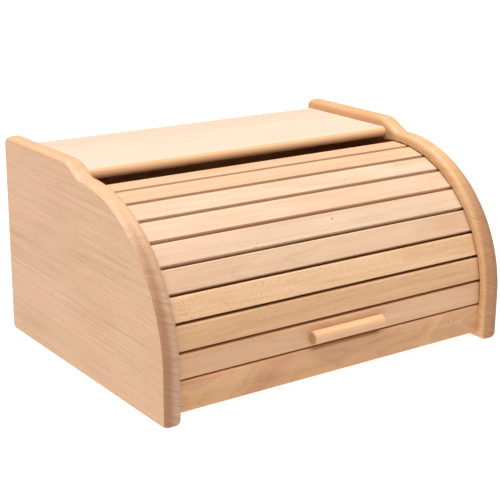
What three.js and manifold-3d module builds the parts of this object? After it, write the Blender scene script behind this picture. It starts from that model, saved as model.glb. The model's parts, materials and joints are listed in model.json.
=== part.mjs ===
// Wooden bread box with a roll top.
// Two side panels carry a front rail, a bottom board, a back panel and a top board. A tambour of slats
// on a cloth backing slides in a circular track cut into both side panels, so that it opens by turning
// about the track's centre. Millimetres, X to the right, Y to the back, Z up.
// The origin is below the middle of the whole box, on the surface that it stands on.
import * as THREE from 'three';
import { mergeVertices } from 'three/addons/utils/BufferGeometryUtils.js';
import Module from 'manifold-3d';

const wasm = await Module();
wasm.setup();

// Driving dimensions. Y is measured here from the front edge of the side panels.
const WIDTH = 400;                 // over both side panels
const DEPTH = 305;                 // of a side panel
const HEIGHT = 205;
const PANEL_THICKNESS = 18.3;
const ARC_RADIUS = 146.4;          // of the panels' curved front, centred like the track
const ARC_CENTRE_Z = 46.4;
const RAMP_ANGLE = 27;             // degrees, the slope from the curve up to the flat top
const RAMP_POINT = [160, 199.1];   // y and z of a point on that slope
const RAMP_TOP_RADIUS = 24;
const CORNER_RADII = { frontBottom: 5, backBottom: 6.5, backTop: 8 };
const PANEL_ROUNDING = 4;          // of the long edges of a side panel

const TRACK_OUTER_RADIUS = 137.1;
const TRACK_INNER_RADIUS = 128;
const TRACK_DEPTH = 5.5;           // into the panel
const TRACK_START = -4.5;          // degrees, from the level through the centre, at the front
const TRACK_END = 184.7;

const SLAT_COUNT = 9;
const SLAT_PITCH = 10.77;          // degrees
const SLAT_START = -4.06;          // degrees, the lower edge of the lowest slat
const SLAT_FACE_RADIUS = 135.6;    // from the track's centre to the middle of a slat's outer face
const SLAT_THICKNESS = 7;
const SLAT_WIDTH_OUTSIDE = 22.2;
const SLAT_WIDTH_INSIDE = 23;
const SLAT_EDGE_RADIUS = 2;
const SLAT_END_PLAY = 0.5;         // between a slat's end and the bottom of the track

const CLOTH_WIDTH = 344;
const CLOTH_THICKNESS = 0.7;
const CLOTH_START = 4.2;           // degrees
const CLOTH_END = 92.1;

const HANDLE_LENGTH = 86;
const HANDLE_CENTRE_X = 6;
const HANDLE_RADIUS = 6.2;
const HANDLE_PROUD = 10.5;         // from the slat's face
const HANDLE_DROP = 1.3;           // below the middle of its slat
const HANDLE_CHAMFER = 1.2;
const HANDLE_SCREW_SPACING = 50;

const TOP_BOARD_UPPER_Z = 195.4;
const TOP_BOARD_THICKNESS = 11;
const TOP_BOARD_FRONT_Y = 163;
const TOP_BOARD_BACK_Y = 297;

const RAIL_FRONT_Y = 9.6;
const RAIL_THICKNESS = 18;
const RAIL_LOWER_Z = 7.8;
const RAIL_UPPER_Z = 36.6;
const RAIL_EDGE_RADIUS = 3;

const BOTTOM_LOWER_Z = 10.8;
const BOTTOM_THICKNESS = 9;
const BOTTOM_TONGUE = 5;           // into the groove of a side panel
const BOTTOM_RAIL_TONGUE = 6;      // into the groove of the front rail

const BACK_FRONT_Y = 287.5;
const BACK_THICKNESS = 6;
const REBATE_WIDTH = 8;            // of a side panel's thickness
const REBATE_HEIGHT = 6;           // of the top board's thickness

const DOWEL_RADIUS = 3;
const DOWEL_LENGTH = 24;
const TOP_DOWEL_Y = [188, 270];
const RAIL_DOWEL_Z = [15.3, 27.8];
const RAIL_DOWEL_Y = 15.6;

const SCREW_HEAD_RADIUS = 3;
const SCREW_SHANK_RADIUS = 1.4;
const SCREW_HEAD_RIM = 0.5;
const SCREW_TIP = 2.5;
const BACK_SCREW_LENGTH = 16;
const HANDLE_SCREW_LENGTH = 14;
const BACK_SCREW_X = [-120, 0, 120];      // of the upper and the lower row
const BACK_SCREW_Z = [27, 101, 166];       // of the columns into the side panels

const GAP = 0.3;                   // left between pieces that touch
const HOLE_GAP = 0.2;              // round a dowel or a screw

// Values worked out from the dimensions.
const HALF_INSIDE = WIDTH / 2 - PANEL_THICKNESS;
const ARC_CENTRE_Y = ARC_RADIUS;
const TRACK_BOTTOM_X = HALF_INSIDE + TRACK_DEPTH;
const TOP_BOARD_LOWER_Z = TOP_BOARD_UPPER_Z - TOP_BOARD_THICKNESS;
const RAIL_BACK_Y = RAIL_FRONT_Y + RAIL_THICKNESS;
const REBATE_FRONT_Y = BACK_FRONT_Y - GAP;
const REBATE_TOP_Z = TOP_BOARD_LOWER_Z + REBATE_HEIGHT;
const BACK_REAR_Y = BACK_FRONT_Y + BACK_THICKNESS;
const BOTTOM_UPPER_Z = BOTTOM_LOWER_Z + BOTTOM_THICKNESS;
const BOTTOM_FRONT_Y = RAIL_BACK_Y - BOTTOM_RAIL_TONGUE + GAP;
const BOTTOM_GROOVE = { low: BOTTOM_LOWER_Z - GAP, high: BOTTOM_UPPER_Z + GAP };
const HANDLE_CENTRE_R = SLAT_FACE_RADIUS + HANDLE_PROUD - HANDLE_RADIUS;
const LOWEST_SLAT_ANGLE = SLAT_START + SLAT_PITCH / 2;
const BACK_SCREW_EDGE_X = HALF_INSIDE + REBATE_WIDTH / 2;
const TOP_SCREW_Z = TOP_BOARD_LOWER_Z + REBATE_HEIGHT / 2;
const BOTTOM_SCREW_Z = BOTTOM_LOWER_Z + BOTTOM_THICKNESS / 2;

const radians = THREE.MathUtils.degToRad;

function wood(colour, roughness = 0.55) {
  return new THREE.MeshStandardMaterial({ color: colour, roughness, metalness: 0 });
}
const PANEL_WOOD = wood(0xe0b692);
const TOP_WOOD = wood(0xfbe3cb);
const SLAT_WOOD = wood(0xf0c89b);
const RAIL_WOOD = wood(0xc99668);
const DOWEL_WOOD = wood(0xd9b080, 0.7);
const PLYWOOD = wood(0xe6c9a0, 0.65);
const LINEN = new THREE.MeshStandardMaterial({ color: 0x8f6a48, roughness: 0.95, metalness: 0 });
const STEEL = new THREE.MeshStandardMaterial({ color: 0xb9b9b4, roughness: 0.35, metalness: 0.9 });

// Closed geometry to a manifold-3d solid, and back.
function solidOf(geometry) {
  const plain = geometry.clone();
  for (const name of Object.keys(plain.attributes)) {
    if (name !== 'position') plain.deleteAttribute(name);
  }
  const merged = mergeVertices(plain, 1e-4);
  return new wasm.Manifold(new wasm.Mesh({
    numProp: 3,
    vertProperties: Float32Array.from(merged.attributes.position.array),
    triVerts: Uint32Array.from(merged.index.array),
  }));
}

function geometryOf(solid) {
  const mesh = solid.getMesh();
  const geometry = new THREE.BufferGeometry();
  geometry.setAttribute('position', new THREE.BufferAttribute(Float32Array.from(mesh.vertProperties), 3));
  geometry.setIndex(new THREE.BufferAttribute(Uint32Array.from(mesh.triVerts), 1));
  geometry.computeVertexNormals();
  return geometry;
}

function cut(geometry, cutters) {
  let solid = solidOf(geometry);
  for (const cutter of cutters) solid = solid.subtract(solidOf(cutter));
  return geometryOf(solid);
}

// Points of an arc in the Y-Z plane, from one angle to the other in equal steps.
function arc(y, z, radius, fromDegrees, toDegrees, steps) {
  const points = [];
  for (let i = 0; i <= steps; i += 1) {
    const angle = radians(fromDegrees + (toDegrees - fromDegrees) * i / steps);
    points.push(new THREE.Vector2(y + radius * Math.cos(angle), z + radius * Math.sin(angle)));
  }
  return points;
}

// A Y-Z outline, anticlockwise, extruded along X from low to high, with a bevel inside the outline.
function extrudeAlongX(outline, low, high, bevel = 0, bevelSegments = 2) {
  const geometry = new THREE.ExtrudeGeometry(new THREE.Shape(outline), {
    depth: high - low - 2 * bevel,
    steps: 1,
    bevelEnabled: bevel > 0,
    bevelThickness: bevel,
    bevelSize: bevel,
    bevelOffset: -bevel,
    bevelSegments,
  });
  const turn = new THREE.Matrix4().makeBasis(
    new THREE.Vector3(0, 1, 0), new THREE.Vector3(0, 0, 1), new THREE.Vector3(1, 0, 0));
  geometry.applyMatrix4(turn);
  return geometry.translate(low + bevel, 0, 0);
}

function box(x, y, z) {
  const geometry = new THREE.BoxGeometry(x[1] - x[0], y[1] - y[0], z[1] - z[0]);
  return geometry.translate((x[0] + x[1]) / 2, (y[0] + y[1]) / 2, (z[0] + z[1]) / 2);
}

// The span along X, ordered from low to high, between two distances from the middle on one side.
function sideSpan(side, inner, outer) {
  return side > 0 ? [inner, outer] : [-outer, -inner];
}

function dowel(radius, length, x, y, z) {
  const geometry = new THREE.CylinderGeometry(radius, radius, length, 16);
  return geometry.rotateZ(Math.PI / 2).translate(x, y, z);
}

// A countersunk screw on the Y axis, its head's flat at y = 0 and its tip at y = -length.
function screw(length, grow = 0) {
  const head = SCREW_HEAD_RADIUS + grow;
  const shank = SCREW_SHANK_RADIUS + grow;
  const rim = SCREW_HEAD_RIM + grow;
  const neck = rim + SCREW_HEAD_RADIUS - SCREW_SHANK_RADIUS;
  const profile = [
    [0, -length - grow], [shank, -length + SCREW_TIP - grow], [shank, -neck], [head, -rim], [head, grow], [0, grow],
  ];
  return new THREE.LatheGeometry(profile.map(([r, y]) => new THREE.Vector2(r, y)), 16);
}

function piece(name, geometry, material) {
  const mesh = new THREE.Mesh(geometry, material);
  mesh.name = name;
  return mesh;
}

// Where the screws through the back panel sit.
function backScrews() {
  const places = [];
  for (const x of BACK_SCREW_X) places.push({ x, z: TOP_SCREW_Z, into: 'top' });
  for (const x of BACK_SCREW_X) places.push({ x, z: BOTTOM_SCREW_Z, into: 'bottom' });
  for (const z of BACK_SCREW_Z) places.push({ x: -BACK_SCREW_EDGE_X, z, into: 'left' });
  for (const z of BACK_SCREW_Z) places.push({ x: BACK_SCREW_EDGE_X, z, into: 'right' });
  return places;
}
const BACK_SCREWS = backScrews();

function backScrewHoles(wanted) {
  return BACK_SCREWS.filter((place) => wanted(place.into))
    .map((place) => screw(BACK_SCREW_LENGTH, HOLE_GAP).translate(place.x, BACK_REAR_Y, place.z));
}

// The track of the slats: a band between two arcs about the track's centre.
function trackCutter(side) {
  const from = 180 - TRACK_START;
  const to = 180 - TRACK_END;
  const outline = [
    ...arc(ARC_CENTRE_Y, ARC_CENTRE_Z, TRACK_INNER_RADIUS, from, to, 48),
    ...arc(ARC_CENTRE_Y, ARC_CENTRE_Z, TRACK_OUTER_RADIUS, to, from, 48),
  ];
  const [low, high] = sideSpan(side, HALF_INSIDE - 1, TRACK_BOTTOM_X);
  return extrudeAlongX(outline, low, high);
}

function panelOutline() {
  const { frontBottom, backBottom, backTop } = CORNER_RADII;
  const arcTopZ = ARC_CENTRE_Z + ARC_RADIUS;
  const slope = Math.tan(radians(RAMP_ANGLE));
  const halfTurn = Math.tan(radians(RAMP_ANGLE / 2));
  const rampFootY = RAMP_POINT[0] - (RAMP_POINT[1] - arcTopZ) / slope;
  const rampHeadY = RAMP_POINT[0] + (HEIGHT - RAMP_POINT[1]) / slope;
  const footRadius = (rampFootY - ARC_CENTRE_Y) / halfTurn;
  const headY = rampHeadY + RAMP_TOP_RADIUS * halfTurn;
  const foot = arc(ARC_CENTRE_Y, arcTopZ + footRadius, footRadius, RAMP_ANGLE - 90, -90, 4);
  return [
    ...arc(DEPTH - backBottom, backBottom, backBottom, -90, 0, 4),
    ...arc(DEPTH - backTop, HEIGHT - backTop, backTop, 0, 90, 4),
    ...arc(headY, HEIGHT - RAMP_TOP_RADIUS, RAMP_TOP_RADIUS, 90, 90 + RAMP_ANGLE, 4),
    ...foot,
    ...arc(ARC_CENTRE_Y, ARC_CENTRE_Z, ARC_RADIUS, 90, 180, 24).slice(1),
    ...arc(frontBottom, frontBottom, frontBottom, 180, 270, 4),
  ];
}

function sidePanel(name, side) {
  const [low, high] = sideSpan(side, HALF_INSIDE, WIDTH / 2);
  const body = extrudeAlongX(panelOutline(), low, high, PANEL_ROUNDING, 3);
  const groove = sideSpan(side, HALF_INSIDE - 1, HALF_INSIDE + BOTTOM_TONGUE);
  const rebate = sideSpan(side, HALF_INSIDE - 1, HALF_INSIDE + REBATE_WIDTH);
  const cutters = [
    trackCutter(side),
    box(groove, [BOTTOM_FRONT_Y - GAP, REBATE_FRONT_Y + 1], [BOTTOM_GROOVE.low, BOTTOM_GROOVE.high]),
    box(rebate, [REBATE_FRONT_Y, DEPTH + 1], [BOTTOM_GROOVE.low, REBATE_TOP_Z]),
    ...dowelPlaces(side).map((place) => dowelHole(side, place)),
    ...backScrewHoles((into) => into === (side > 0 ? 'right' : 'left')),
  ];
  return piece(name, cut(body, cutters), PANEL_WOOD);
}

// The dowels of one side: two in the end of the top board, two in the end of the front rail.
function dowelPlaces(side) {
  const middle = (TOP_BOARD_LOWER_Z + TOP_BOARD_UPPER_Z) / 2;
  const word = side > 0 ? 'right' : 'left';
  return [
    ...TOP_DOWEL_Y.map((y, i) => ({ name: `top_dowel_${word}_${i + 1}`, y, z: middle, board: 'top' })),
    ...RAIL_DOWEL_Z.map((z, i) => ({ name: `rail_dowel_${word}_${i + 1}`, y: RAIL_DOWEL_Y, z, board: 'rail' })),
  ];
}

function dowelHole(side, place) {
  return dowel(DOWEL_RADIUS + HOLE_GAP, DOWEL_LENGTH + 2 * GAP, side * HALF_INSIDE, place.y, place.z);
}

function boardDowelHoles(board) {
  return [-1, 1].flatMap((side) => dowelPlaces(side)
    .filter((place) => place.board === board)
    .map((place) => dowelHole(side, place)));
}

function topBoard() {
  const nose = TOP_BOARD_THICKNESS / 2;
  const outline = [
    new THREE.Vector2(REBATE_FRONT_Y, TOP_BOARD_LOWER_Z),
    new THREE.Vector2(REBATE_FRONT_Y, REBATE_TOP_Z),
    new THREE.Vector2(TOP_BOARD_BACK_Y, REBATE_TOP_Z),
    new THREE.Vector2(TOP_BOARD_BACK_Y, TOP_BOARD_UPPER_Z),
    ...arc(TOP_BOARD_FRONT_Y + nose, TOP_BOARD_UPPER_Z - nose, nose, 90, 270, 12),
  ];
  const body = extrudeAlongX(outline, -HALF_INSIDE + GAP, HALF_INSIDE - GAP);
  return piece('top_board', cut(body, [
    ...boardDowelHoles('top'), ...backScrewHoles((into) => into === 'top')]), TOP_WOOD);
}

function frontRail() {
  const radius = RAIL_EDGE_RADIUS;
  const outline = [
    new THREE.Vector2(RAIL_FRONT_Y, RAIL_LOWER_Z),
    new THREE.Vector2(RAIL_BACK_Y, RAIL_LOWER_Z),
    new THREE.Vector2(RAIL_BACK_Y, RAIL_UPPER_Z),
    ...arc(RAIL_FRONT_Y + radius, RAIL_UPPER_Z - radius, radius, 90, 180, 4),
  ];
  const body = extrudeAlongX(outline, -HALF_INSIDE + GAP, HALF_INSIDE - GAP);
  const groove = box([-HALF_INSIDE, HALF_INSIDE], [BOTTOM_FRONT_Y - GAP, RAIL_BACK_Y + 1],
    [BOTTOM_GROOVE.low, BOTTOM_GROOVE.high]);
  return piece('front_rail', cut(body, [groove, ...boardDowelHoles('rail')]), RAIL_WOOD);
}

function bottomBoard() {
  const half = HALF_INSIDE + BOTTOM_TONGUE - GAP;
  const body = box([-half, half], [BOTTOM_FRONT_Y, BACK_FRONT_Y - GAP], [BOTTOM_LOWER_Z, BOTTOM_UPPER_Z]);
  return piece('bottom_board', cut(body, backScrewHoles((into) => into === 'bottom')), PANEL_WOOD);
}

function backPanel() {
  const half = HALF_INSIDE + REBATE_WIDTH - GAP;
  const body = box([-half, half], [BACK_FRONT_Y, BACK_REAR_Y], [BOTTOM_LOWER_Z, REBATE_TOP_Z - GAP]);
  return piece('back_panel', cut(body, backScrewHoles(() => true)), PLYWOOD);
}

// A slat's section: Y runs up round the track and Z away from its centre.
function slatGeometry() {
  const outside = SLAT_WIDTH_OUTSIDE / 2;
  const inside = SLAT_WIDTH_INSIDE / 2;
  const low = SLAT_FACE_RADIUS - SLAT_THICKNESS;
  const radius = SLAT_EDGE_RADIUS;
  const outline = [
    new THREE.Vector2(-inside, low),
    new THREE.Vector2(inside, low),
    ...arc(outside - radius, SLAT_FACE_RADIUS - radius, radius, 0, 90, 4),
    ...arc(radius - outside, SLAT_FACE_RADIUS - radius, radius, 90, 180, 4),
  ];
  const half = TRACK_BOTTOM_X - SLAT_END_PLAY;
  return extrudeAlongX(outline, -half, half);
}

// A screw through the lowest slat into the handle, from the inside of the slat, in the slat's frame.
function handleScrew(x, grow = 0) {
  const geometry = screw(HANDLE_SCREW_LENGTH, grow);
  return geometry.rotateX(-Math.PI / 2).translate(x, -HANDLE_DROP, SLAT_FACE_RADIUS - SLAT_THICKNESS + HOLE_GAP);
}
const HANDLE_SCREW_X = [-1, 1].map((side) => HANDLE_CENTRE_X + side * HANDLE_SCREW_SPACING / 2);

function handleGeometry() {
  const flat = HANDLE_CENTRE_R - SLAT_FACE_RADIUS - GAP;
  const edge = THREE.MathUtils.radToDeg(Math.asin(flat / HANDLE_RADIUS));
  const outline = arc(-HANDLE_DROP, HANDLE_CENTRE_R, HANDLE_RADIUS, -edge, 180 + edge, 20);
  const low = HANDLE_CENTRE_X - HANDLE_LENGTH / 2;
  const body = extrudeAlongX(outline, low, low + HANDLE_LENGTH, HANDLE_CHAMFER, 1);
  return cut(body, HANDLE_SCREW_X.map((x) => handleScrew(x, HOLE_GAP)));
}

// The cloth lies flat on the back of each slat and folds in the middle of each gap.
function clothGeometry() {
  const outer = SLAT_FACE_RADIUS - SLAT_THICKNESS - GAP;
  const folds = [];
  for (let i = 1; i < SLAT_COUNT; i += 1) folds.push(SLAT_START + SLAT_PITCH * i);
  const angles = [CLOTH_START, ...folds, CLOTH_END];
  // A point at an angle of the track, on the flat that is this far from the centre.
  const onFlat = (angle, distance) => {
    const slat = Math.min(Math.floor((angle - SLAT_START) / SLAT_PITCH + 1e-6), SLAT_COUNT - 1);
    const middle = SLAT_START + SLAT_PITCH * (slat + 0.5);
    const radius = distance / Math.cos(radians(angle - middle));
    return new THREE.Vector2(-radius * Math.cos(radians(angle)), radius * Math.sin(radians(angle)));
  };
  const outline = [
    ...angles.map((angle) => onFlat(angle, outer - CLOTH_THICKNESS)).reverse(),
    ...angles.map((angle) => onFlat(angle, outer)),
  ];
  return extrudeAlongX(outline, -CLOTH_WIDTH / 2, CLOTH_WIDTH / 2);
}

// A piece of the tambour, turned so that its own Z points from the centre at that angle of the track.
function atAngle(mesh, degrees) {
  mesh.rotation.x = radians(90 - degrees);
  return mesh;
}

function tambour() {
  const group = new THREE.Group();
  group.position.set(0, ARC_CENTRE_Y, ARC_CENTRE_Z);
  for (let number = 1; number <= SLAT_COUNT; number += 1) {
    const angle = SLAT_START + SLAT_PITCH * (SLAT_COUNT - number + 0.5);
    const carriesHandle = number === SLAT_COUNT;
    const plain = slatGeometry();
    const holes = HANDLE_SCREW_X.map((x) => handleScrew(x, HOLE_GAP));
    const geometry = carriesHandle ? cut(plain, holes) : plain;
    group.add(atAngle(piece(`slat_${number}`, geometry, SLAT_WOOD), angle));
  }
  group.add(piece('backing_cloth', clothGeometry(), LINEN));
  group.add(atAngle(piece('handle', handleGeometry(), SLAT_WOOD), LOWEST_SLAT_ANGLE));
  HANDLE_SCREW_X.forEach((x, i) => {
    group.add(atAngle(piece(`handle_screw_${i + 1}`, handleScrew(x), STEEL), LOWEST_SLAT_ANGLE));
  });
  return group;
}

function carcass() {
  const group = new THREE.Group();
  group.add(sidePanel('left_side_panel', -1), sidePanel('right_side_panel', 1));
  group.add(topBoard(), frontRail(), bottomBoard(), backPanel());
  for (const side of [-1, 1]) {
    for (const place of dowelPlaces(side)) {
      const geometry = dowel(DOWEL_RADIUS, DOWEL_LENGTH, side * HALF_INSIDE, place.y, place.z);
      group.add(piece(place.name, geometry, DOWEL_WOOD));
    }
  }
  BACK_SCREWS.forEach((place, i) => {
    const geometry = screw(BACK_SCREW_LENGTH).translate(place.x, BACK_REAR_Y - HOLE_GAP, place.z);
    group.add(piece(`back_screw_${i + 1}`, geometry, STEEL));
  });
  return group;
}

const breadBox = new THREE.Group();
breadBox.add(carcass(), tambour());

breadBox.position.y = -DEPTH / 2;

export default breadBox;
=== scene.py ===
"""A beech bread box with a roll top: finished boards, tambour, canvas and screws around the frame.

Metres, X to the right, Y to the back, Z up. Every board is an outline carried along X with rounded
ends, and what is routed or drilled is then cut out of it. The wood is one solid pattern of growth
rings, rays and fibres, laid into each board along its own fibre.
"""
import json
import math

import bmesh
import bpy
import numpy as np
from mathutils import Matrix, Quaternion, Vector


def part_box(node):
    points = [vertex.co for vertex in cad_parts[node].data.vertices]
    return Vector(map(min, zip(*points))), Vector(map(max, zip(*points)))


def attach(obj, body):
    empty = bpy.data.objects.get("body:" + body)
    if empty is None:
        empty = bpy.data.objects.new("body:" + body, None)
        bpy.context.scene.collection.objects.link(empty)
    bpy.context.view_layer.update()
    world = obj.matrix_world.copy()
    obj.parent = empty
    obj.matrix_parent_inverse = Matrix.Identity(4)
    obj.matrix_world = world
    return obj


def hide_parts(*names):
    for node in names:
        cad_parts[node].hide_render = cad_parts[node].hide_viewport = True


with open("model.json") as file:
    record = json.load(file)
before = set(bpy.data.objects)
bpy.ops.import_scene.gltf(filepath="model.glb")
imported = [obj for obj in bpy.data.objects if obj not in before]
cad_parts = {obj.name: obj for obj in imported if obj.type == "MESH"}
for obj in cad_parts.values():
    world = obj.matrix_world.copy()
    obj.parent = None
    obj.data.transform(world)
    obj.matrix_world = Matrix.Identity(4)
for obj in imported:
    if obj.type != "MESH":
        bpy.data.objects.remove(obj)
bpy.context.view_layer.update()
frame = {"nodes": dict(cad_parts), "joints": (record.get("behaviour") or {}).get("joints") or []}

MM = 0.001
RIGHT = np.array([1.0, 0.0, 0.0])
BACK = np.array([0.0, 1.0, 0.0])
UP = np.array([0.0, 0.0, 1.0])

# Where things are, from the frame.
LEFT_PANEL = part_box("left_side_panel")
RIGHT_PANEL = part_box("right_side_panel")
INSIDE = RIGHT_PANEL[0].x              # half the width between the panels
FRONT_Y = LEFT_PANEL[0].y              # the panels' front edges
REAR_Y = LEFT_PANEL[1].y
HEIGHT = LEFT_PANEL[1].z
TURN = next(joint for joint in frame["joints"] if joint["name"] == "roll_top_turn")
CENTRE = np.array(TURN["pos_m"])       # of the track and of the panels' curved front

# The side panels.
ARC_RADIUS = CENTRE[1] - FRONT_Y
RAMP_ANGLE = math.radians(27)          # from the curve up to the level top
RAMP_POINT = (FRONT_Y + 160 * MM, 199.1 * MM)
RAMP_HEAD_RADIUS = 24 * MM
FRONT_FOOT_RADIUS = 5 * MM
REAR_FOOT_RADIUS = 6.5 * MM
REAR_HEAD_RADIUS = 8 * MM
INNER_ARRIS = 6.2 * MM                 # radius along a panel's inner edge
OUTER_BULGE = 9 * MM                   # and of the flatter curve that ends in its crisp outer edge
OUTER_CURVE = 6 * MM                   # how much of the thickness that curve takes

TRACK_OUTER = 137.1 * MM
TRACK_INNER = 128 * MM
TRACK_BOTTOM = INSIDE + 5.5 * MM
TRACK_SPAN = (-4.5, 184.7)             # degrees, from level at the front over the top

# The tambour.
SLAT_COUNT = 9
SLAT_PITCH = 10.77                     # degrees
SLAT_START = -4.06                     # degrees, the lower edge of the lowest slat
SLAT_FACE = 135.6 * MM                 # from the centre
SLAT_THICKNESS = 7 * MM
SLAT_OUTSIDE = 22.2 * MM               # a slat's width on its face
SLAT_INSIDE = 23.0 * MM                # and on its back, which nearly closes the gap to the next
SLAT_UPPER_ROUND = 2 * MM
SLAT_LOWER_ROUND = 0.6 * MM
SLAT_BACK_ROUND = 0.3 * MM
CLOTH_SPAN = (4.2, 92.1)               # degrees
CLOTH_THICKNESS = 0.6 * MM
HANDLE_DROP = 1.3 * MM                 # the handle's axis, below the middle of its slat
HANDLE_RADIUS = 6.2 * MM
HANDLE_PROUD = 10.5 * MM

SNUG = 0.05 * MM                       # between boards that are glued or slide
SCREW_SINK = 0.2 * MM                  # of a handle screw's head, in the back of its slat
SCREW_CLEARANCE = 0.15 * MM            # round a screw in its hole
THREAD_CLEARANCE = 0.1 * MM            # and where its thread bites in the handle
LEAST_RADIUS = 0.05 * MM
ARC_ERROR = 0.01 * MM                  # between an arc and its chords


# ---- Camera and studio -------------------------------------------------------------------------

def linked(name, data):
    thing = bpy.data.objects.new(name, data)
    bpy.context.scene.collection.objects.link(thing)
    return thing


def add_camera():
    azimuth, elevation = math.radians(-35.228), math.radians(17.08)
    level = math.cos(elevation)
    backwards = Vector((math.sin(azimuth) * level, -math.cos(azimuth) * level, math.sin(elevation)))
    camera = linked("camera", bpy.data.cameras.new("camera"))
    camera.location = (-0.7122, -1.0019, 0.4676)
    level_view = backwards.to_track_quat("Z", "Y")
    camera.rotation_euler = (level_view @ Quaternion((0, 0, 1), math.radians(0.452))).to_euler()
    camera.data.sensor_width = 36
    camera.data.lens = 90.7
    bpy.context.scene.camera = camera


def add_studio():
    """A white floor under one very wide soft light from above, a little from the left and the front."""
    reach, level = 30.0, -0.1 * MM
    floor_mesh = bpy.data.meshes.new("floor")
    corners = [(x * reach, y * reach, level) for x, y in ((-1, -1), (1, -1), (1, 1), (-1, 1))]
    floor_mesh.from_pydata(corners, [], [(0, 1, 2, 3)])
    floor = linked("floor", floor_mesh)
    paper = Finish("white_paper")
    paper.shade(colour=(0.22, 0.22, 0.22), roughness=0.9,
                **{"Emission Color": (1, 1, 1), "Emission Strength": 0.9})
    floor_mesh.materials.append(paper.material)

    light = linked("overhead", bpy.data.lights.new("overhead", "SUN"))
    light.data.energy = 4.4
    light.data.angle = math.radians(70)
    light.rotation_euler = Vector((-0.13, -0.14, 0.98)).to_track_quat("Z", "Y").to_euler()

    world = bpy.data.worlds.new("studio")
    world.use_nodes = True
    background = world.node_tree.nodes["Background"]
    background.inputs["Color"].default_value = (1, 1, 1, 1)
    background.inputs["Strength"].default_value = 0.2
    bpy.context.scene.world = world
    bpy.context.scene.view_settings.view_transform = "Standard"


# ---- Shapes ------------------------------------------------------------------------------------

def turned_left(vectors):
    return np.stack([-vectors[..., 1], vectors[..., 0]], axis=-1)


def arc_steps(turn, radius):
    """How many chords follow an arc to within ARC_ERROR: a chord's rise is r (1 - cos(half its angle))."""
    chord = 2 * math.acos(1 - min(ARC_ERROR / max(radius, LEAST_RADIUS), 0.2))
    return math.ceil(abs(turn) / chord)


def rounded_outline(corners, inset=0.0):
    """The outline of a polygon with rounded corners, anticlockwise, moved inwards by inset.

    Each side moves along its inward normal, and a moved corner is where two moved sides cross. An arc
    keeps its centre: an outward corner's radius shrinks by the inset and an inward corner's grows.
    """
    points = np.array([corner[:2] for corner in corners])
    radii = np.array([corner[2] for corner in corners])
    ahead = np.roll(points, -1, axis=0) - points
    ahead /= np.linalg.norm(ahead, axis=1, keepdims=True)
    before = np.roll(ahead, 1, axis=0)
    cosine = np.sum(before * ahead, axis=1)
    turn = np.arctan2(np.sum(turned_left(before) * ahead, axis=1), cosine)
    moved = points + inset * (turned_left(before) + turned_left(ahead)) / (1 + cosine)[:, None]
    radius = np.maximum(radii - np.sign(turn) * inset, LEAST_RADIUS)[:, None]
    start = moved - before * radius * np.tan(np.abs(turn) / 2)[:, None]
    hub = start + turned_left(before) * radius * np.sign(turn)[:, None]
    arcs = []
    for i, corner in enumerate(corners):
        angle = np.linspace(0, turn[i], arc_steps(turn[i], corner[2]) + 1)[:, None]
        spoke = start[i] - hub[i]
        arcs.append(hub[i] + spoke * np.cos(angle) + turned_left(spoke) * np.sin(angle))
    return np.concatenate(arcs)


def rounded_ends(low, high, low_radius, high_radius, steps=7):
    """Stations along X, each a place and the outline's inset there: a quarter circle at either end."""
    angle = np.linspace(0, math.pi / 2, steps + 1)
    rise, run = 1 - np.sin(angle), 1 - np.cos(angle)
    first = np.stack([low + low_radius * run, low_radius * rise], axis=1)
    last = np.stack([high - high_radius * run, high_radius * rise], axis=1)[::-1]
    return np.concatenate([first, last])


def panel_stations(low, high, side, steps=10):
    """A side panel's stations: a quarter circle at the inner edge, a flatter bulge at the outer one.

    The bulge is an arc of a wider circle that touches the front edge where it starts, so it meets the
    outer face at an angle: the inset is R - sqrt(R^2 - d^2) at a distance d beyond that start.
    """
    angle = np.linspace(0, math.pi / 2, steps + 1)
    inner = np.stack([INNER_ARRIS * (1 - np.cos(angle)), INNER_ARRIS * (1 - np.sin(angle))], axis=1)
    past = np.linspace(0, OUTER_CURVE, steps + 1)
    inset = OUTER_BULGE - np.sqrt(OUTER_BULGE ** 2 - past ** 2)
    outer = np.stack([high - low - OUTER_CURVE + past, inset], axis=1)
    rows = np.concatenate([inner, outer])
    if side > 0:
        return rows + (low, 0)
    return (rows * (-1, 1) + (high, 0))[::-1]


def solid(name, rings):
    """A closed mesh from rings of points: four-sided faces from each ring to the next, and both ends filled.

    A ring that has shrunk to a point becomes a pole, because points in one place are merged.
    """
    rows, columns = rings.shape[:2]
    index = np.arange(rows * columns).reshape(rows, columns)
    ahead = np.roll(index, -1, axis=1)
    sides = np.stack([index[:-1], ahead[:-1], ahead[1:], index[1:]], axis=-1).reshape(-1, 4)
    mesh = bpy.data.meshes.new(name)
    ends = [index[0, ::-1].tolist(), index[-1].tolist()]
    mesh.from_pydata(rings.reshape(-1, 3), [], sides.tolist() + ends)
    merged = bmesh.new()
    merged.from_mesh(mesh)
    bmesh.ops.remove_doubles(merged, verts=merged.verts, dist=0.001 * MM)
    merged.to_mesh(mesh)
    merged.free()
    return linked(name, mesh)


def carried(name, outline, stations, across=BACK, out=UP, origin=(0, 0, 0)):
    """A board: an outline in the plane of across and out, carried along X through the stations."""
    plane = np.array([across, out])
    return solid(name, np.array([x * RIGHT + outline(inset) @ plane + origin for x, inset in stations]))


def block(name, low, high):
    """A plain box, for cutting."""
    corners = np.array([(low[1], low[2]), (high[1], low[2]), (high[1], high[2]), (low[1], high[2])])
    return carried(name, lambda inset: corners, [(low[0], 0), (high[0], 0)])


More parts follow.
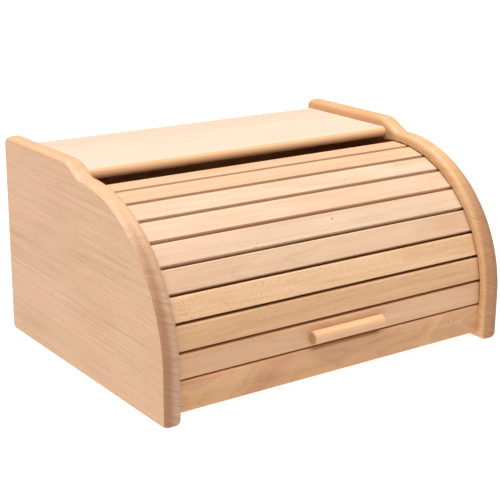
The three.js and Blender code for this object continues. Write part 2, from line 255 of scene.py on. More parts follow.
def cut(piece, cutters):
    """Takes the cutters out of a piece, one after the other, and removes them."""
    for cutter in cutters:
        step = piece.modifiers.new("cut", "BOOLEAN")
        step.operation = "DIFFERENCE"
        step.solver = "EXACT"
        step.object = cutter
    finished = piece.evaluated_get(bpy.context.evaluated_depsgraph_get())
    mesh = bpy.data.meshes.new_from_object(finished)
    piece.modifiers.clear()
    piece.data = mesh
    for cutter in cutters:
        bpy.data.objects.remove(cutter)


def fit(piece, finish, body, slot, *nodes):
    """Finishes a piece, shades its rounded edges smoothly beside true flats, and puts it on its body."""
    piece.data.materials.clear()
    piece.data.materials.append(finish)
    piece.data.shade_smooth()
    piece.data.set_sharp_from_angle(angle=math.radians(32))
    even = piece.modifiers.new("even_shading", "WEIGHTED_NORMAL")
    even.keep_sharp = True
    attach(piece, body)
    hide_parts(*nodes)


# ---- Shader maths ------------------------------------------------------------------------------

class Number:
    """A socket of a finish. Arithmetic on it, with another socket or a plain number, adds Math nodes."""

    def __init__(self, finish, socket):
        self.finish = finish
        self.socket = socket

    def maths(self, operation, *terms):
        """The Math node for an operation on the terms, of which this number is one."""
        return self.finish.node("ShaderNodeMath", {"operation": operation}, dict(enumerate(terms)))

    def __add__(self, other):
        return self.maths("ADD", self, other)

    def __sub__(self, other):
        return self.maths("SUBTRACT", self, other)

    def __rsub__(self, other):
        return self.maths("SUBTRACT", other, self)

    def __mul__(self, other):
        return self.maths("MULTIPLY", self, other)

    def __truediv__(self, other):
        return self.maths("DIVIDE", self, other)

    __radd__ = __add__
    __rmul__ = __mul__

    def power(self, exponent):
        return self.maths("POWER", self, exponent)

    def size(self):
        return self.maths("ABSOLUTE", self)

    def sine(self):
        return self.maths("SINE", self)

    def angle_over(self, other):
        """The angle whose tangent is this number over the other one."""
        return self.maths("ARCTAN2", self, other)

    def fraction(self):
        return self.maths("FRACT", self)

    def above(self, level):
        return self.maths("GREATER_THAN", self, level)

    def rise(self, low, high):
        """0 up to low, 1 from high on, and a smooth step between them. With low above high it falls."""
        inputs = {"Value": self, "From Min": low, "From Max": high}
        return self.finish.node("ShaderNodeMapRange", {"interpolation_type": "SMOOTHSTEP"}, inputs)


class Finish:
    """A material being made, and the one method that adds its nodes."""

    def __init__(self, name):
        self.material = bpy.data.materials.new(name)
        self.material.use_nodes = True
        self.tree = self.material.node_tree

    def put(self, node, inputs):
        for key, value in inputs.items():
            if isinstance(value, Number):
                self.tree.links.new(value.socket, node.inputs[key])
            elif isinstance(value, (tuple, list, np.ndarray)) and node.inputs[key].type == "RGBA":
                node.inputs[key].default_value = (*value, 1)
            else:
                node.inputs[key].default_value = value

    def node(self, kind, settings=(), inputs=(), output=0):
        made = self.tree.nodes.new(kind)
        for name, value in dict(settings).items():
            setattr(made, name, value)
        self.put(made, dict(inputs))
        return Number(self, made.outputs[output])

    def mixed(self, factor, first, second, blend="MIX"):
        """Two colours mixed: socket 0 is the factor, and 6 and 7 are the colours."""
        settings = {"data_type": "RGBA", "blend_type": blend}
        return self.node("ShaderNodeMix", settings, {0: factor, 6: first, 7: second}, 2)

    def vector(self, operation, *terms, output=0):
        return self.node("ShaderNodeVectorMath", {"operation": operation}, dict(enumerate(terms)), output)

    def dot(self, first, second):
        return self.vector("DOT_PRODUCT", first, second, output="Value")

    def parts(self, vector):
        node = self.tree.nodes.new("ShaderNodeSeparateXYZ")
        self.put(node, {0: vector})
        return [Number(self, output) for output in node.outputs]

    def joined(self, x, y, z):
        return self.node("ShaderNodeCombineXYZ", {}, {0: x, 1: y, 2: z})

    def noise(self, vector, size, detail=2.0, roughness=0.5):
        """Smooth noise around 0.5, with a grain of size (x, y, z) in the vector's own unit."""
        place = self.vector("DIVIDE", vector, size)
        return self.node("ShaderNodeTexNoise", {}, {"Vector": place, "Scale": 1.0, "Detail": detail,
                                                    "Roughness": roughness})

    def bump(self, height, strength, distance):
        inputs = {"Height": height, "Strength": strength, "Distance": distance}
        return self.node("ShaderNodeBump", {}, inputs)

    def shade(self, colour, roughness, normal=None, metallic=0.0, **more):
        shader = self.tree.nodes["Principled BSDF"]
        inputs = {"Base Color": colour, "Roughness": roughness, "Metallic": metallic, **more}
        if normal is not None:
            inputs["Normal"] = normal
        self.put(shader, inputs)
        return self.material


def colour(text):
    """A colour written as six hexadecimal digits, in the linear values that a shader takes."""
    levels = np.array([int(text[i:i + 2], 16) for i in (0, 2, 4)]) / 255
    return np.where(levels > 0.04045, ((levels + 0.055) / 1.055) ** 2.4, levels / 12.92)


# ---- Finishes ----------------------------------------------------------------------------------

FLECK_BROWN = colour("8f5f3b")
KNOT_BROWN = colour("5b3016")
# painted sheen: a whitish paleness laid on a board's upper face
PAINTED_SHEEN = colour("eed6c8")
# painted shade and painted light on a panel's end grain: its outer side darker, its inner side paler
PAINTED_SHADE_BROWN = colour("9c6f52")         # the darker outer side of a panel's end grain
PAINTED_LIGHT_END = colour("d8c0ab")            # and its paler inner side
PINK_BLUSH = colour("eab896")
FAR_STAVE = colour("cf9f86")           # tints the stave beyond a glued joint
END_GRAIN = colour("d2c4b7")           # multiplies the wood's colour where the fibres are cut across

SEED_STEP = np.array([137.0, 61.0, 29.0])   # millimetres between one board's pattern and the next seed's
STAVE_JUMP = 391                       # how far along another stick the stave beyond a joint is taken
STAVE_SHIFT = 23                       # and how far across it
SAW_SLANT = 0.45                       # along the arc per millimetre across the edge
SAW_PITCH = 2.1                        # millimetres
THREAD_WIDTH = 0.9 * MM


def beech(name, middle, fibre, across, pale, deep, pith, ring=2.0, lean=(0.0, 0.0), wander=3.0,
          figure=0.5, flecks=0.3, blush=0.3, seed=0, knots=(), joint=None, saw_lines_and_painted_light=None,
          painted_sheen_depth=None, dash_length=4.5):
    """Beech as a solid: what a board shows is where its faces cut through rings, rays and fibres.

    In the board's own millimetres, along the fibre, across it and through it from the middle, the
    tree's centre runs at pith, leaning by lean per millimetre of length. Growth rings are the distance
    from it divided by the width of a ring, with a slow wander of that many millimetres; each ring ends
    in a thin darker line. Rays show as short thin dashes along the board, and fibres are noise drawn
    out along it. Where fibres are cut across, the wood is darker and greyer. knots are (along,
    across, radius), and joint is where two staves are glued. From bleached, a depth, on, the upper
    face is paler: a painted sheen. With hatch, end grain has saw lines and a darker outer side,
    which is painted shade, and its inner side is paler by that share, which is painted light.
    """
    wood = Finish(name)
    through = np.cross(fibre, across)
    axes = np.array([fibre, across, through])
    turn = Matrix(axes.tolist()).to_euler()
    source = wood.node("ShaderNodeTexCoord", {}, {}, "Object")
    surface = wood.node("ShaderNodeTexCoord", {}, {}, "Normal")
    own = wood.node("ShaderNodeMapping", {}, {"Vector": source, "Location": -(axes @ middle) / MM,
                                              "Rotation": turn, "Scale": (1 / MM,) * 3})
    along, sideways, depth = wood.parts(own)
    if joint is not None:
        stave = sideways.above(joint)
        own = wood.vector("ADD", own, wood.joined(stave * STAVE_JUMP, 0, 0))
        along = wood.parts(own)[0]
        sideways = sideways + stave * STAVE_SHIFT
    random = wood.vector("ADD", own, seed * SEED_STEP)

    knot_mask = None
    push = None
    for knot_along, knot_across, radius in knots:
        x = (along - knot_along) / (2.2 * radius)
        y = (sideways - knot_across) / radius
        distance = (x * x + y * y).power(0.5)
        core = distance.rise(1.0, 0.25)
        swell = distance.rise(7.0, 0.0)
        knot_mask = core if knot_mask is None else knot_mask + core
        push = swell * radius if push is None else push + swell * radius

    slow = wood.noise(random, (120, 40, 40), 2.0)
    from_pith = sideways - pith[0] - along * lean[0]
    off_pith = depth - pith[1] - along * lean[1]
    radial = (from_pith * from_pith + off_pith * off_pith).power(0.5)
    bent = radial + (slow - 0.5) * (2 * wander)
    if push is not None:
        bent = bent + push
    rings = bent / ring
    band = wood.node("ShaderNodeTexNoise", {"noise_dimensions": "1D"}, {"W": rings * 0.45 + seed * 7.3,
                                                                      "Scale": 1.0, "Detail": 2.0})
    uneven = rings + (band - 0.5) * 1.5
    late = uneven.fraction().power(3.0) * uneven.fraction().rise(1.0, 0.93)

    distance_to_pith = math.hypot(*pith)
    tangential = from_pith.angle_over(off_pith) * distance_to_pith
    ray_place = wood.joined(along + seed * 53.0, tangential, radial)
    ray_cell = wood.vector("DIVIDE", ray_place, (dash_length, 0.75, 1.2))
    voronoi = {"Vector": ray_cell, "Scale": 1.0, "Randomness": 1.0}
    near_ray = wood.node("ShaderNodeTexVoronoi", {}, voronoi, "Distance")
    chosen = wood.parts(wood.node("ShaderNodeTexVoronoi", {}, voronoi, "Color"))[0]
    dash = near_ray.rise(0.34, 0.20) * chosen.rise(0.35, 0.75)

    fibres = wood.noise(random, (42, 0.55, 0.55), 3.0, 0.6)
    strands = wood.noise(random, (160, 3.2, 3.2), 2.0, 0.5)
    cloudy = wood.noise(random, (70, 16, 16), 2.0, 0.5)
    pinker = wood.noise(random, (260, 22, 60), 1.0, 0.5)

    shade = (0.42 + (band - 0.5) * (1.5 * figure) + late * (0.42 * figure) + (fibres - 0.5) * 0.55
             + (strands - 0.5) * 0.75 + (cloudy - 0.5) * 0.55)
    tone = wood.mixed(shade.rise(0.0, 1.0), pale, deep)
    tone = wood.mixed(pinker.rise(0.35, 0.75) * blush, tone, PINK_BLUSH)
    tone = wood.mixed(dash * flecks, tone, FLECK_BROWN)
    # painted sheen: the upper face grows paler towards its top
    if painted_sheen_depth is not None:
        tone = wood.mixed(depth.rise(painted_sheen_depth - 0.9, painted_sheen_depth) * 0.6, tone, PAINTED_SHEEN)
    if joint is not None:
        tone = wood.mixed(stave * 0.15, tone, FAR_STAVE)
    cut_across = wood.dot(surface, fibre).size().rise(0.35, 0.92)
    tone = wood.mixed(cut_across, tone, wood.mixed(1.0, tone, END_GRAIN, "MULTIPLY"))
    height = fibres * 0.6 + band * 0.3 - dash * (0.8 * flecks)
    if saw_lines_and_painted_light is not None:
        lines = saw_lines(wood, source)
        outer_side = wood.parts(source)[0].size().rise(INSIDE + 7 * MM, INSIDE + 14 * MM)
        # painted shade on the outer side of the end grain, and painted light on its inner side by the given
        # share
        tone = wood.mixed(cut_across * outer_side * 0.68, tone, PAINTED_SHADE_BROWN)
        tone = wood.mixed(cut_across * (1 - outer_side) * saw_lines_and_painted_light, tone, PAINTED_LIGHT_END)
        tone = wood.mixed(cut_across * lines.rise(0.42, 0.62) * 0.38, tone, FLECK_BROWN)
        height = height + cut_across * lines * 1.5
    if knot_mask is not None:
        tone = wood.mixed(knot_mask.rise(0.0, 0.8) * 0.85, tone, KNOT_BROWN)
        height = height - knot_mask
    roughness = 0.50 + (fibres - 0.5) * 0.12 + cut_across * 0.12
    return wood.shade(tone, roughness, wood.bump(height, 0.35, 0.10 * MM))


def saw_lines(wood, source):
    """Fine parallel scratches across a panel's curved edge, slanting a little along the arc."""
    x, y, z = wood.parts(wood.vector("SUBTRACT", source, tuple(CENTRE)))
    round_arc = z.angle_over(y) * ARC_RADIUS
    down_slope = (round_arc - x * SAW_SLANT) / MM
    uneven = wood.noise(wood.joined(down_slope, x / MM, 0.0), (1.7, 30, 1), 1.0)
    row = (down_slope * (2 * math.pi / SAW_PITCH)).sine()
    return uneven + row * 0.10


def canvas():
    """Linen canvas, dark brown in part as painted shade in the slat gaps: warp along X and weft round the
    tambour, each thread a rounded ridge.
    """
    cloth = Finish("linen_canvas")
    source = cloth.node("ShaderNodeTexCoord", {}, {}, "Object")
    x, y, z = cloth.parts(cloth.vector("SUBTRACT", source, tuple(CENTRE)))
    warp = x / THREAD_WIDTH
    weft = z.angle_over(y) * (TRACK_INNER / THREAD_WIDTH)
    over = (warp * math.pi).sine() * (weft * math.pi).sine()
    thread = cloth.noise(source, (9 * MM, 0.6 * MM, 0.6 * MM), 2.0)
    soil = cloth.noise(source, (60 * MM, 60 * MM, 60 * MM), 3.0)
    ridge = 1 - (warp.fraction() - 0.5).size() * (weft.fraction() - 0.5).size() * 4
    # painted shade in the hollows between threads and a painted highlight on their ridges, mixed with the
    # threads' own uneven tone
    light = ridge.rise(0.2, 1.0) * 0.6 + thread * 0.4
    # painted shade: these browns are darker in part to stand for the shade in the gaps between the slats
    tone = cloth.mixed(light, colour("7b5739"), colour("a67f5a"))
    tone = cloth.mixed(soil.rise(0.45, 0.8) * 0.3, tone, colour("6d4a2e"))
    return cloth.shade(tone, 0.92, cloth.bump(ridge + over * 0.5, 0.6, 0.15 * MM))


def zinc():
    """Zinc-plated steel, brighter where the plating is thick, with a fine matt grain."""
    steel = Finish("zinc_plated_steel")
    source = steel.node("ShaderNodeTexCoord", {}, {}, "Object")
    grain = steel.noise(source, (0.5 * MM,) * 3, 3.0)
    bloom = steel.noise(source, (3 * MM,) * 3, 2.0)
    tone = steel.mixed(bloom.rise(0.3, 0.7), colour("a9aaa8"), colour("d6d4cb"))
    return steel.shade(tone, 0.28 + grain * 0.22, steel.bump(grain, 0.15, 0.05 * MM), metallic=1.0)


add_camera()
add_studio()


# ---- Carcass -----------------------------------------------------------------------------------

def panel_outline(inset):
    """A side panel: round front about the track's centre, a short ramp, and a level top."""
    crown = CENTRE[2] + ARC_RADIUS
    slope = math.tan(RAMP_ANGLE)
    foot = RAMP_POINT[0] - (RAMP_POINT[1] - crown) / slope
    head = RAMP_POINT[0] + (HEIGHT - RAMP_POINT[1]) / slope
    foot_radius = (foot - CENTRE[1]) / math.tan(RAMP_ANGLE / 2)
    return rounded_outline([
        (FRONT_Y, 0, FRONT_FOOT_RADIUS),
        (REAR_Y, 0, REAR_FOOT_RADIUS),
        (REAR_Y, HEIGHT, REAR_HEAD_RADIUS),
        (head, HEIGHT, RAMP_HEAD_RADIUS),
        (foot, crown, foot_radius),
        (FRONT_Y, crown, ARC_RADIUS),
    ], inset)


def track_outline(inset):
    """The band between two arcs that the slats' ends slide in."""
    under = np.radians(np.linspace(*TRACK_SPAN, 160))
    over = under[::-1]
    outer = TRACK_OUTER * np.stack([-np.cos(over), np.sin(over)], axis=1)
    inner = TRACK_INNER * np.stack([-np.cos(under), np.sin(under)], axis=1)
    return np.concatenate([outer, inner]) + CENTRE[1:]


def between(side, near, far):
    """A span along X on one side of the middle, from low to high."""
    return (near, far) if side > 0 else (-far, -near)


def circle(centre, radius):
    """An outline that is a circle in the Y-Z plane."""
    angle = np.linspace(0, 2 * math.pi, 33)[:-1, None]
    return lambda inset: np.array(centre) + (radius - inset) * np.hstack([np.cos(angle), np.sin(angle)])


def bore(dowel, radial=0.2 * MM, endways=0.3 * MM):
    """The hole for a dowel of the frame, a little wider and longer than it."""
    low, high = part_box(dowel)
    outline = circle(((low.y + high.y) / 2, (low.z + high.z) / 2), (high.y - low.y) / 2 + radial)
    return carried("bore", outline, [(low.x - endways, 0), (high.x + endways, 0)])


SCREW_RIM = 0.5 * MM
SCREW_SHANK = 1.4 * MM
SCREW_CORE = 1.05 * MM
SCREW_TIP = 2.5 * MM
THREAD_PITCH = 1.15 * MM
RECESS = {"reach": 1.75 * MM, "half_width": 0.42 * MM, "depth": 1.5 * MM}
HEAD_RADIUS = 3 * MM


def screw_rings(length, grow=0.0, threaded=True):
    """A countersunk screw along -Y from its head's flat at y = 0, as rings about its axis.

    The head's flat sinks into a cross: two crossed bars whose depth falls off outwards. Its cone
    narrows to the shank, and the thread is a ridge that climbs one pitch a turn and fades at the tip.
    """
    angle = np.linspace(0, 2 * math.pi, 41)[:-1]
    neck = SCREW_RIM + HEAD_RADIUS - SCREW_SHANK
    flat = np.linspace(0, HEAD_RADIUS + grow, 22 if threaded else 2)
    turns = np.linspace(neck, length - SCREW_TIP, 74 if threaded else 2)
    down = np.concatenate([np.full(flat.size, -grow), [SCREW_RIM], turns, [length + grow]])
    radius = np.concatenate([flat, [HEAD_RADIUS + grow], np.full(turns.size, SCREW_SHANK + grow), [0]])
    down, radius = np.repeat(down[:, None], angle.size, 1), np.repeat(radius[:, None], angle.size, 1)
    if threaded:
        x, z = radius * np.cos(angle), radius * np.sin(angle)
        edge = 0.15 * MM
        bar_one = np.clip((RECESS["half_width"] - np.abs(x)) / edge, 0, 1)
        bar_two = np.clip((RECESS["half_width"] - np.abs(z)) / edge, 0, 1)
        fall = np.clip(1 - radius / RECESS["reach"], 0, 1) ** 0.6
        on_flat = np.arange(len(down))[:, None] < flat.size
        down = down + on_flat * RECESS["depth"] * np.maximum(bar_one, bar_two) * fall
        phase = (down / THREAD_PITCH - angle / (2 * math.pi)) % 1
        ridge = np.clip(1 - np.abs(phase - 0.5) / 0.24, 0, 1)
        on_thread = (down > neck + THREAD_PITCH) & (radius > 0) & ~on_flat
        radius = np.where(on_thread, SCREW_CORE + (SCREW_SHANK - SCREW_CORE) * ridge, radius)
    return np.stack([radius * np.cos(angle), -down, radius * np.sin(angle)], axis=-1)


def placed(points, origin, axes):
    """Points in a piece's own X, Y and Z, whose directions are the rows of axes, put where it is."""
    return points @ np.array(axes) + origin


def box_screws(*numbers):
    """The place of the head's middle and the length of the numbered screws through the back panel."""
    for number in numbers:
        low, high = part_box(f"back_screw_{number}")
        yield number, np.array([(low.x + high.x) / 2, high.y, (low.z + high.z) / 2]), high.y - low.y


def screw_holes(*numbers):
    axes = (RIGHT, BACK, UP)
    return [solid("screw_hole", placed(screw_rings(length, SCREW_CLEARANCE, False), place, axes))
            for _, place, length in box_screws(*numbers)]


TOP_SCREWS, BOTTOM_SCREWS = (1, 2, 3), (4, 5, 6)
LEFT_SCREWS, RIGHT_SCREWS = (7, 8, 9), (10, 11, 12)
TOP_DOWELS = [f"top_dowel_{side}_{i}" for side in ("left", "right") for i in (1, 2)]
RAIL_DOWELS = [f"rail_dowel_{side}_{i}" for side in ("left", "right") for i in (1, 2)]

BOTTOM_LOW, BOTTOM_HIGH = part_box("bottom_board")
BACK_LOW, BACK_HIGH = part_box("back_panel")
TOP_LOW, TOP_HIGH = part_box("top_board")
RAIL_LOW, RAIL_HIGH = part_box("front_rail")
REBATE_Y = BACK_LOW.y - SNUG
CLEAR = 0.3 * MM                       # round the tongues of the bottom board

# Each side panel's paler and darker colour, pith, share of painted light on its end grain's inner side, and
# knots.
SIDE_WOODS = {
    "left": ("e1b88f", "cb966d", (-250, -20), 0.3, [(90, 79, 0.8)]),
    "right": ("e0b483", "ca9363", (-230, 20), 0, []),
}


def add_side_panel(side):
    word = "right" if side > 0 else "left"
    low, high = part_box(f"{word}_side_panel")
    panel = carried(f"{word}_side", panel_outline, panel_stations(low.x, high.x, side))
    track = between(side, INSIDE - 1 * MM, TRACK_BOTTOM)
    groove = between(side, INSIDE - 1 * MM, BOTTOM_HIGH.x + CLEAR)
    rebate = between(side, INSIDE - 1 * MM, BACK_HIGH.x + CLEAR)
    cut(panel, [
        carried("track", track_outline, [(track[0], 0), (track[1], 0)]),
        block("groove", (groove[0], BOTTOM_LOW.y - CLEAR, BOTTOM_LOW.z - CLEAR),
              (groove[1], REBATE_Y + CLEAR, BOTTOM_HIGH.z + CLEAR)),
        block("rebate", (rebate[0], REBATE_Y, BACK_LOW.z - CLEAR),
              (rebate[1], REAR_Y + CLEAR, BACK_HIGH.z + CLEAR)),
        *[bore(name) for name in TOP_DOWELS + RAIL_DOWELS if word in name],
        *screw_holes(*(RIGHT_SCREWS if side > 0 else LEFT_SCREWS)),
    ])
    middle = np.array([(low.x + high.x) / 2, 0, HEIGHT / 2])
    pale, deep, pith, saw_lines_and_painted_light, knots = SIDE_WOODS[word]
    finish = beech(f"{word}_side_beech", middle, BACK, UP, colour(pale), colour(deep), pith, ring=1.7,
                   lean=(0.05, 0.01), wander=5, figure=0.3, flecks=0.25, blush=0.35, seed=3 + side,
                   saw_lines_and_painted_light=saw_lines_and_painted_light, dash_length=11, knots=knots)
    fit(panel, finish, "box", "panel_wood", f"{word}_side_panel")


def add_top_board():
    low, high = TOP_LOW, TOP_HIGH
    nose = (high.z - low.z) / 2
    step = BACK_HIGH.z + SNUG

    def outline(inset):
        return rounded_outline([
            (low.y, low.z, nose),
            (REBATE_Y, low.z, 0.3 * MM),
            (REBATE_Y, step, 0.2 * MM),
            (high.y, step, 0.4 * MM),
            (high.y, high.z, 0.8 * MM),
            (low.y, high.z, nose),
        ], inset)

    half = INSIDE - SNUG
    board = carried("top", outline, rounded_ends(-half, half, 0.2 * MM, 0.2 * MM, steps=2))
    cut(board, [bore(name) for name in TOP_DOWELS] + screw_holes(*TOP_SCREWS))
    middle = np.array([0, (low.y + high.y) / 2, (low.z + high.z) / 2])
    # the top board's upper face gets a painted sheen, paler from 5.45 mm above its middle
    finish = beech("top_beech", middle, RIGHT, BACK, colour("e6b988"), colour("d49f6e"), pith=(15, -120),
                   ring=2.6, lean=(0.02, 0.03), figure=0.45, flecks=0.12, blush=0.35, seed=8, joint=22,
                   painted_sheen_depth=5.45)
    fit(board, finish, "box", "top_wood", "top_board")


def add_front_rail():
    low, high = RAIL_LOW, RAIL_HIGH
    groove = BOTTOM_LOW.y - CLEAR

    def outline(inset):
        return rounded_outline([
            (low.y, low.z, 0.8 * MM),
            (high.y, low.z, 0.5 * MM),
            (high.y, BOTTOM_LOW.z - CLEAR, 0.2 * MM),
            (groove, BOTTOM_LOW.z - CLEAR, 0.2 * MM),
            (groove, BOTTOM_HIGH.z + CLEAR, 0.2 * MM),
            (high.y, BOTTOM_HIGH.z + CLEAR, 0.2 * MM),
            (high.y, high.z, 0.5 * MM),
            (low.y, high.z, 3 * MM),
        ], inset)

    half = INSIDE - SNUG
    board = carried("rail", outline, rounded_ends(-half, half, 0.15 * MM, 0.15 * MM, steps=2))
    cut(board, [bore(name) for name in RAIL_DOWELS])
    middle = np.array([0, (low.y + high.y) / 2, (low.z + high.z) / 2])
    finish = beech("rail_beech", middle, RIGHT, UP, colour("cc9a67"), colour("af7748"), pith=(-3, -34),
                   ring=2.4, lean=(0.03, 0.06), wander=7, figure=0.8, flecks=0.2, blush=0.3, seed=11,
                   knots=[(140, 4.3, 0.9)])
    fit(board, finish, "box", "rail_wood", "front_rail")


def add_bottom_board():
    low, high = BOTTOM_LOW, BOTTOM_HIGH
    soft = 0.4 * MM

    def outline(inset):
        corners = [(low.y, low.z), (REBATE_Y, low.z), (REBATE_Y, high.z), (low.y, high.z)]
        return rounded_outline([(*corner, soft) for corner in corners], inset)

    board = carried("bottom", outline, rounded_ends(low.x, high.x, soft, soft, steps=3))
    cut(board, screw_holes(*BOTTOM_SCREWS))
    middle = np.array([0, 0, (low.z + high.z) / 2])
    finish = beech("bottom_beech", middle, RIGHT, BACK, colour("f0cba2"), colour("d9a87a"),
                   pith=(-40, -90), ring=2.4, lean=(0.04, 0.05), wander=6, figure=0.6, flecks=0.4, seed=14,
                   joint=12)
    fit(board, finish, "box", "panel_wood", "bottom_board")


def add_back_panel():
    low, high = BACK_LOW, BACK_HIGH
    soft = 0.3 * MM

    def outline(inset):
        corners = [(low.y, low.z), (high.y, low.z), (high.y, high.z), (low.y, high.z)]
        return rounded_outline([(*corner, soft) for corner in corners], inset)

    panel = carried("back", outline, rounded_ends(low.x, high.x, soft, soft, steps=3))
    cut(panel, screw_holes(*range(1, 13)))
    fit(panel, plywood((low + high) / 2), "box", "plywood", "back_panel")


def plywood(middle):
    """Beech-faced plywood, with a peeled veneer's wide figure."""
    return beech("plywood_beech", np.array(middle), RIGHT, UP, colour("efcfa6"), colour("d6a978"),
                 pith=(30, -60), ring=3.2, lean=(0.10, 0.16), wander=16, figure=0.8, flecks=0.35, seed=17)


def add_screws():
    steel = zinc()
    for number, place, length in box_screws(*range(1, 13)):
        screw = solid(f"box_screw_{number}", placed(screw_rings(length), place, (RIGHT, BACK, UP)))
        fit(screw, steel, "box", "steel", f"back_screw_{number}")
    for number, (place, axes, length) in enumerate(handle_screws(), start=1):
        screw = solid(f"pull_screw_{number}", placed(screw_rings(length), place, axes))
        fit(screw, steel, "roll_top", "steel", f"handle_screw_{number}")


def finish_dowels():
    """The hidden dowels keep the shapes they have in the frame and get a beech of their own."""
    for number, name in enumerate(TOP_DOWELS + RAIL_DOWELS):
        low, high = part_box(name)
        finish = beech(f"dowel_beech_{number + 1}", np.array((low + high) / 2), RIGHT, BACK,
                       colour("e8c496"), colour("cf9f6c"), pith=(5, -40), ring=1.6, seed=21 + number)
        frame["nodes"][name].material_slots[0].material = finish


# ---- Tambour -----------------------------------------------------------------------------------

def slat_angle(number):
    """The angle round the track of a slat's middle; slat 1 is the rearmost and 9 the lowest."""
    return math.radians(SLAT_START + SLAT_PITCH * (SLAT_COUNT - number + 0.5))


def slat_axes(number):
    """Up round the track, and out from its centre, at a slat."""
    angle = slat_angle(number)
    across = np.array([0, math.sin(angle), math.cos(angle)])
    out = np.array([0, -math.cos(angle), math.sin(angle)])
    return across, out


def handle_screws():
    """The middle of each handle screw's head, its axes, and its length through slat and handle."""
    length = 14 * MM
    across, out = slat_axes(SLAT_COUNT)
    base = SLAT_FACE - SLAT_THICKNESS + SCREW_SINK
    for number in (1, 2):
        low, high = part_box(f"handle_screw_{number}")
        place = CENTRE + (low.x + high.x) / 2 * RIGHT - HANDLE_DROP * across + base * out
        yield place, (RIGHT, -out, across), length


def handle_screw_holes(clearance):
    return [solid("screw_hole", placed(screw_rings(length, clearance, False), place, axes))
            for place, axes, length in handle_screws()]


# Each slat is from another stick, and its colours are partly painted light: its paler and darker colour,
# pith, lean, figure, flecks and blush.
# The upper slats, which face up, are mostly paler and greyer as a painted sheen; the lower ones are deeper
# orange as painted shade.
SLAT_WOODS = {
    1: ("e2b894", "d2a079", (5, -60), (0.010, 0.015), 0.40, 0.15, 0.2),
    2: ("ddb996", "cfa27d", (-30, -25), (0.015, 0.010), 0.40, 0.15, 0.3),
    3: ("dabfa3", "cba682", (8, -50), (0.020, 0.020), 0.45, 0.35, 0.1),
    4: ("dcba9c", "cfa482", (-12, -80), (0.012, 0.012), 0.40, 0.10, 0.3),
    5: ("d6bb9d", "c7a080", (25, -30), (0.018, 0.012), 0.40, 0.20, 0.2),
    6: ("d3b494", "c29878", (-4, -45), (0.012, 0.020), 0.55, 0.15, 0.3),
    7: ("dfb892", "ca9c70", (6, -55), (0.010, 0.020), 0.40, 0.60, 0.0),
    8: ("d6ac83", "c29167", (-18, -40), (0.012, 0.020), 0.45, 0.40, 0.2),
    9: ("d4a880", "c19068", (10, -42), (0.012, 0.020), 0.60, 0.15, 0.4),
}
SLAT_KNOTS = {5: [(20, 3.2, 0.9), (-76, -10.5, 0.7)]}


def slat_outline(inset):
    """A slat's section: across from its lower to its upper edge, out from the track's centre."""
    inner = SLAT_FACE - SLAT_THICKNESS
    return rounded_outline([
        (-SLAT_INSIDE / 2, inner, SLAT_BACK_ROUND),
        (SLAT_INSIDE / 2, inner, SLAT_BACK_ROUND),
        (SLAT_OUTSIDE / 2, SLAT_FACE, SLAT_UPPER_ROUND),
        (-SLAT_OUTSIDE / 2, SLAT_FACE, SLAT_LOWER_ROUND),
    ], inset)


def add_slat(number):
    low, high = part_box(f"slat_{number}")
    across, out = slat_axes(number)
    stations = rounded_ends(low.x, high.x, 0.3 * MM, 0.3 * MM, steps=2)
    slat = carried(f"roll_slat_{number}", slat_outline, stations, across, out, CENTRE)
    if number == SLAT_COUNT:
        cut(slat, handle_screw_holes(SCREW_CLEARANCE))
    pale, deep, pith, lean, figure, flecks, blush = SLAT_WOODS[number]
    middle = CENTRE + (SLAT_FACE - SLAT_THICKNESS / 2) * out
    finish = beech(f"slat_beech_{number}", middle, RIGHT, across, colour(pale), colour(deep), pith,
                   ring=2.2, lean=lean, figure=figure, flecks=flecks, blush=blush, seed=30 + 3 * number,
                   knots=SLAT_KNOTS.get(number, ()))
    fit(slat, finish, "roll_top", "slat_wood", f"slat_{number}")


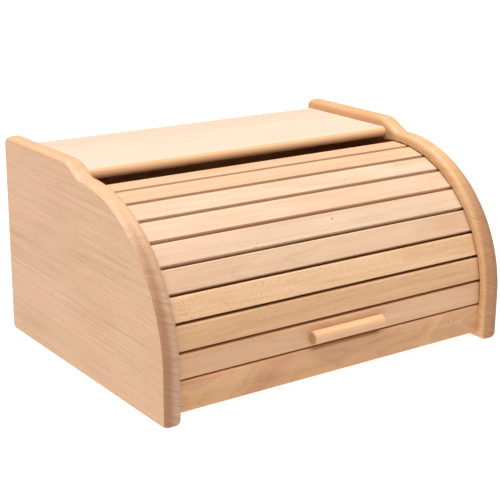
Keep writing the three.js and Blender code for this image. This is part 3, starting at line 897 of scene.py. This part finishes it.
def add_handle():
    """A dowel with chamfered ends and one flat, screwed to the lowest slat from inside.

    A chamfer is a list of places in from the end and the insets there, in millimetres.
    """
    low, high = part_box("handle")
    across, out = slat_axes(SLAT_COUNT)
    axis = SLAT_FACE + HANDLE_PROUD - HANDLE_RADIUS
    seat = SLAT_FACE + SNUG

    def outline(inset):
        radius = HANDLE_RADIUS - inset
        edge = math.asin((axis - seat) / radius)
        angle = np.linspace(-edge, math.pi + edge, 49)
        return np.stack([radius * np.cos(angle) - HANDLE_DROP, axis + radius * np.sin(angle)], axis=1)

    chamfer = [(0.0, 1.35), (0.10, 1.15), (0.95, 0.20), (1.15, 0.05), (1.35, 0.0)]
    stations = [(low.x + x * MM, inset * MM) for x, inset in chamfer]
    stations += [(high.x - x * MM, inset * MM) for x, inset in chamfer[::-1]]
    handle = carried("pull_handle", outline, stations, across, out, CENTRE)
    cut(handle, handle_screw_holes(THREAD_CLEARANCE))
    middle = CENTRE + (low.x + high.x) / 2 * RIGHT + axis * out
    finish = beech("handle_beech", middle, RIGHT, across, colour("e2b68d"), colour("cf996c"), (4, -30),
                   ring=1.8, lean=(0.02, 0.03), figure=0.4, flecks=0.3, blush=0.2, seed=71)
    fit(handle, finish, "roll_top", "slat_wood", "handle")


def add_cloth():
    """Canvas glued to the slats' backs, flat on each and folded where two meet."""
    low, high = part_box("backing_cloth")
    outer = SLAT_FACE - SLAT_THICKNESS - SNUG
    pitch, start = math.radians(SLAT_PITCH), math.radians(SLAT_START)
    angle = np.linspace(*np.radians(CLOTH_SPAN), 181)
    from_middle = (angle - start) % pitch - pitch / 2

    def outline(inset):
        over = (outer - inset) / np.cos(from_middle)
        under = (outer - CLOTH_THICKNESS + inset) / np.cos(from_middle)
        direction = np.stack([-np.cos(angle), np.sin(angle)], axis=1)
        return np.concatenate([(over[:, None] * direction)[::-1], under[:, None] * direction])

    cloth = carried("backing_canvas", outline, rounded_ends(low.x, high.x, 0.1 * MM, 0.1 * MM, steps=2),
                    origin=CENTRE)
    fit(cloth, canvas(), "roll_top", "cloth", "backing_cloth")


add_side_panel(-1)
add_side_panel(1)
add_top_board()
add_front_rail()
add_bottom_board()
add_back_panel()
finish_dowels()
for slat_number in range(1, SLAT_COUNT + 1):
    add_slat(slat_number)
add_handle()
add_cloth()
add_screws()
